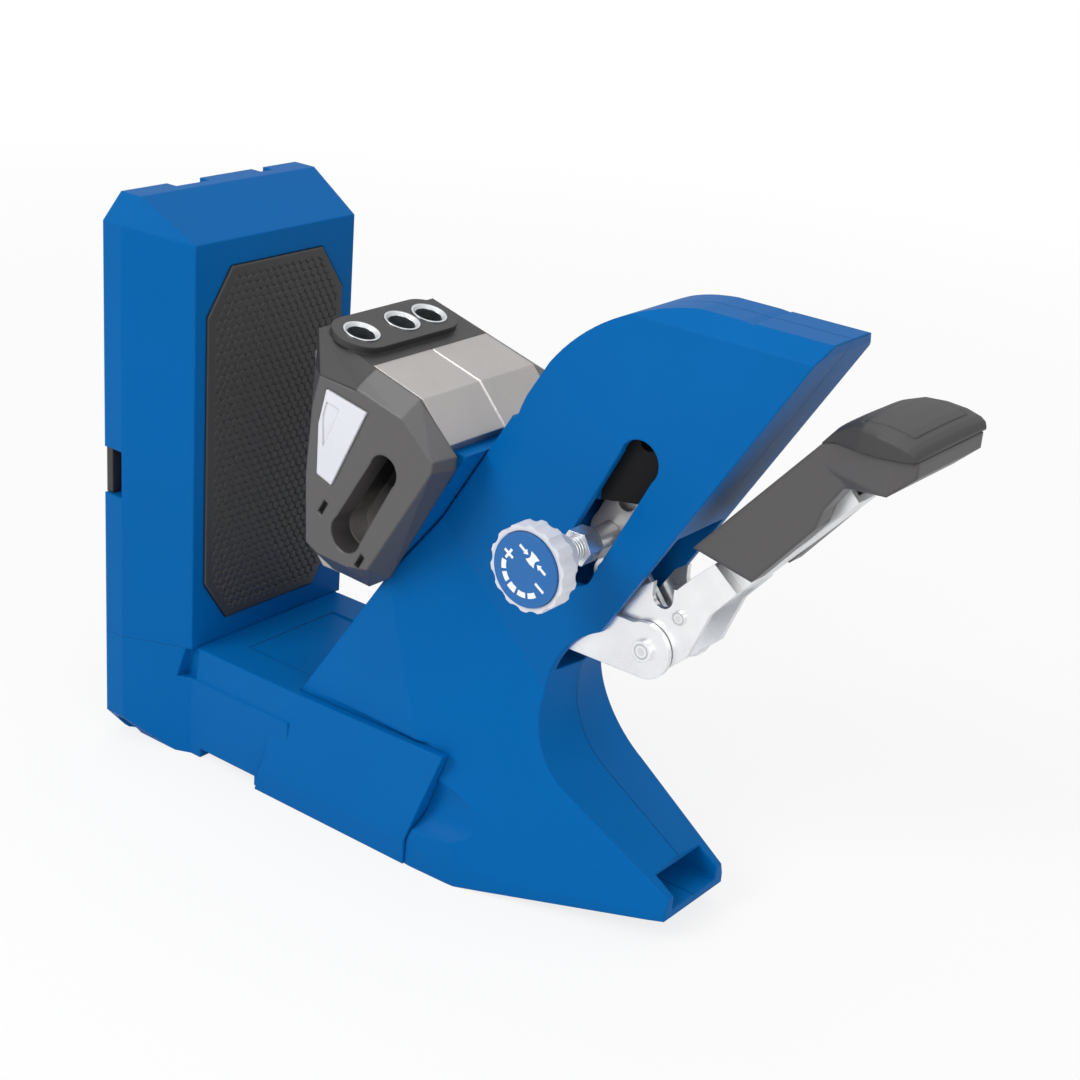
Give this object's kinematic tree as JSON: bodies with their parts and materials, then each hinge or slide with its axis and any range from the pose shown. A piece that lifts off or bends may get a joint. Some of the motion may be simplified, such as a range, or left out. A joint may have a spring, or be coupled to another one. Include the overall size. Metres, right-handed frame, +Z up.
{
  "type": "pocket hole jig",
  "caption": "Bench pocket hole jig: a fixed jaw with a rubber grip pad, a sliding drill guide with angled steel bushings, and a leaning clamp tower worked by a hand lever.",
  "frame": {"origin": "On the ground under the fixed jaw's pad face, on the middle plane, at the foot of the base's middle rib.", "axes": "+X from the fixed jaw towards the lever's handle, +Y towards the side without the adjuster knob, +Z up."},
  "size_m": [0.3045, 0.103, 0.2148],
  "materials": {
    "blue_plastic": "moulded blue nylon with a fine grain",
    "black_plastic": "moulded black plastic with a fine grain",
    "grey_plastic": "moulded dark grey plastic with a fine grain",
    "pale_plastic": "moulded pale grey plastic",
    "grip_rubber": "soft black rubber",
    "cast_alloy": "die cast alloy, sand textured",
    "zinc_steel": "zinc plated pressed steel",
    "tool_steel": "hardened ground steel",
    "spring_steel": "bright spring wire"
  },
  "bodies": {
    "frame": {"base_frame": "blue_plastic", "fixed_jaw": "blue_plastic", "jaw_grip_pad": "grip_rubber", "jaw_rear_cover": "black_plastic", "jaw_screws": "zinc_steel", "tower_front_shell": "blue_plastic", "tower_rear_shell": "blue_plastic", "tower_screws": "zinc_steel", "pivot_bracket": "zinc_steel", "pivot_rivet": "zinc_steel"},
    "carriage": {"guide_carriage": "blue_plastic", "drill_guide_body": "cast_alloy", "guide_top_cap": "black_plastic", "guide_front_cover": "grey_plastic", "guide_rear_cover": "grey_plastic", "front_bushing": "tool_steel", "middle_bushing": "tool_steel", "rear_bushing": "tool_steel", "front_button_spring": "spring_steel", "rear_button_spring": "spring_steel"},
    "front_button": {"release_button_front": "pale_plastic"},
    "rear_button": {"release_button_rear": "pale_plastic"},
    "lever": {"lever_plates": "zinc_steel", "handle_body": "grey_plastic", "handle_grip": "grip_rubber", "handle_rivets": "zinc_steel", "lever_rivet": "zinc_steel", "link_pin": "zinc_steel"},
    "link": {"drive_link": "zinc_steel"},
    "rocker_arm": {"rocker": "cast_alloy", "rocker_pins": "zinc_steel"},
    "knob": {"adjuster_shaft": "zinc_steel", "adjuster_nut": "zinc_steel", "adjuster_knob": "pale_plastic", "knob_dial": "blue_plastic"}
  },
  "joints": [
    {"name": "lever_hinge", "type": "hinge", "parent": "frame", "child": "lever", "pos_m": [0.1815, 0, 0.0994], "axis": [0, 1, 0], "range_deg": [0, 65]},
    {"name": "guide_slide", "type": "slide", "parent": "frame", "child": "carriage", "axis": [-1, 0, 0], "range_m": [0, 0.03215]},
    {"name": "rocker_hinge", "type": "hinge", "parent": "frame", "child": "rocker_arm", "pos_m": [0.1586, 0, 0.1312], "axis": [0, 1, 0], "range_deg": [-45.01, 0]},
    {"name": "link_hinge", "type": "hinge", "parent": "lever", "child": "link", "pos_m": [0.17267, 0, 0.10409], "axis": [0, 1, 0], "range_deg": [-69.71, 0]},
    {"name": "knob_turn", "type": "hinge", "parent": "frame", "child": "knob", "pos_m": [0.1586, 0, 0.1312], "axis": [0, -1, 0], "range_deg": [-135, 135]},
    {"name": "front_button_press", "type": "slide", "parent": "carriage", "child": "front_button", "axis": [0, 1, 0], "range_m": [0, 0.003], "stiffness_N_per_m": 800, "deforming": ["front_button_spring"]},
    {"name": "rear_button_press", "type": "slide", "parent": "carriage", "child": "rear_button", "axis": [0, -1, 0], "range_m": [0, 0.003], "stiffness_N_per_m": 800, "deforming": ["rear_button_spring"]}
  ],
  "couplings": [
    {"joint": "guide_slide", "follows": "lever_hinge", "m_per_rad": 0.028336},
    {"joint": "rocker_hinge", "follows": "lever_hinge", "ratio": -0.69231},
    {"joint": "link_hinge", "follows": "lever_hinge", "ratio": -1.0723}
  ]
}
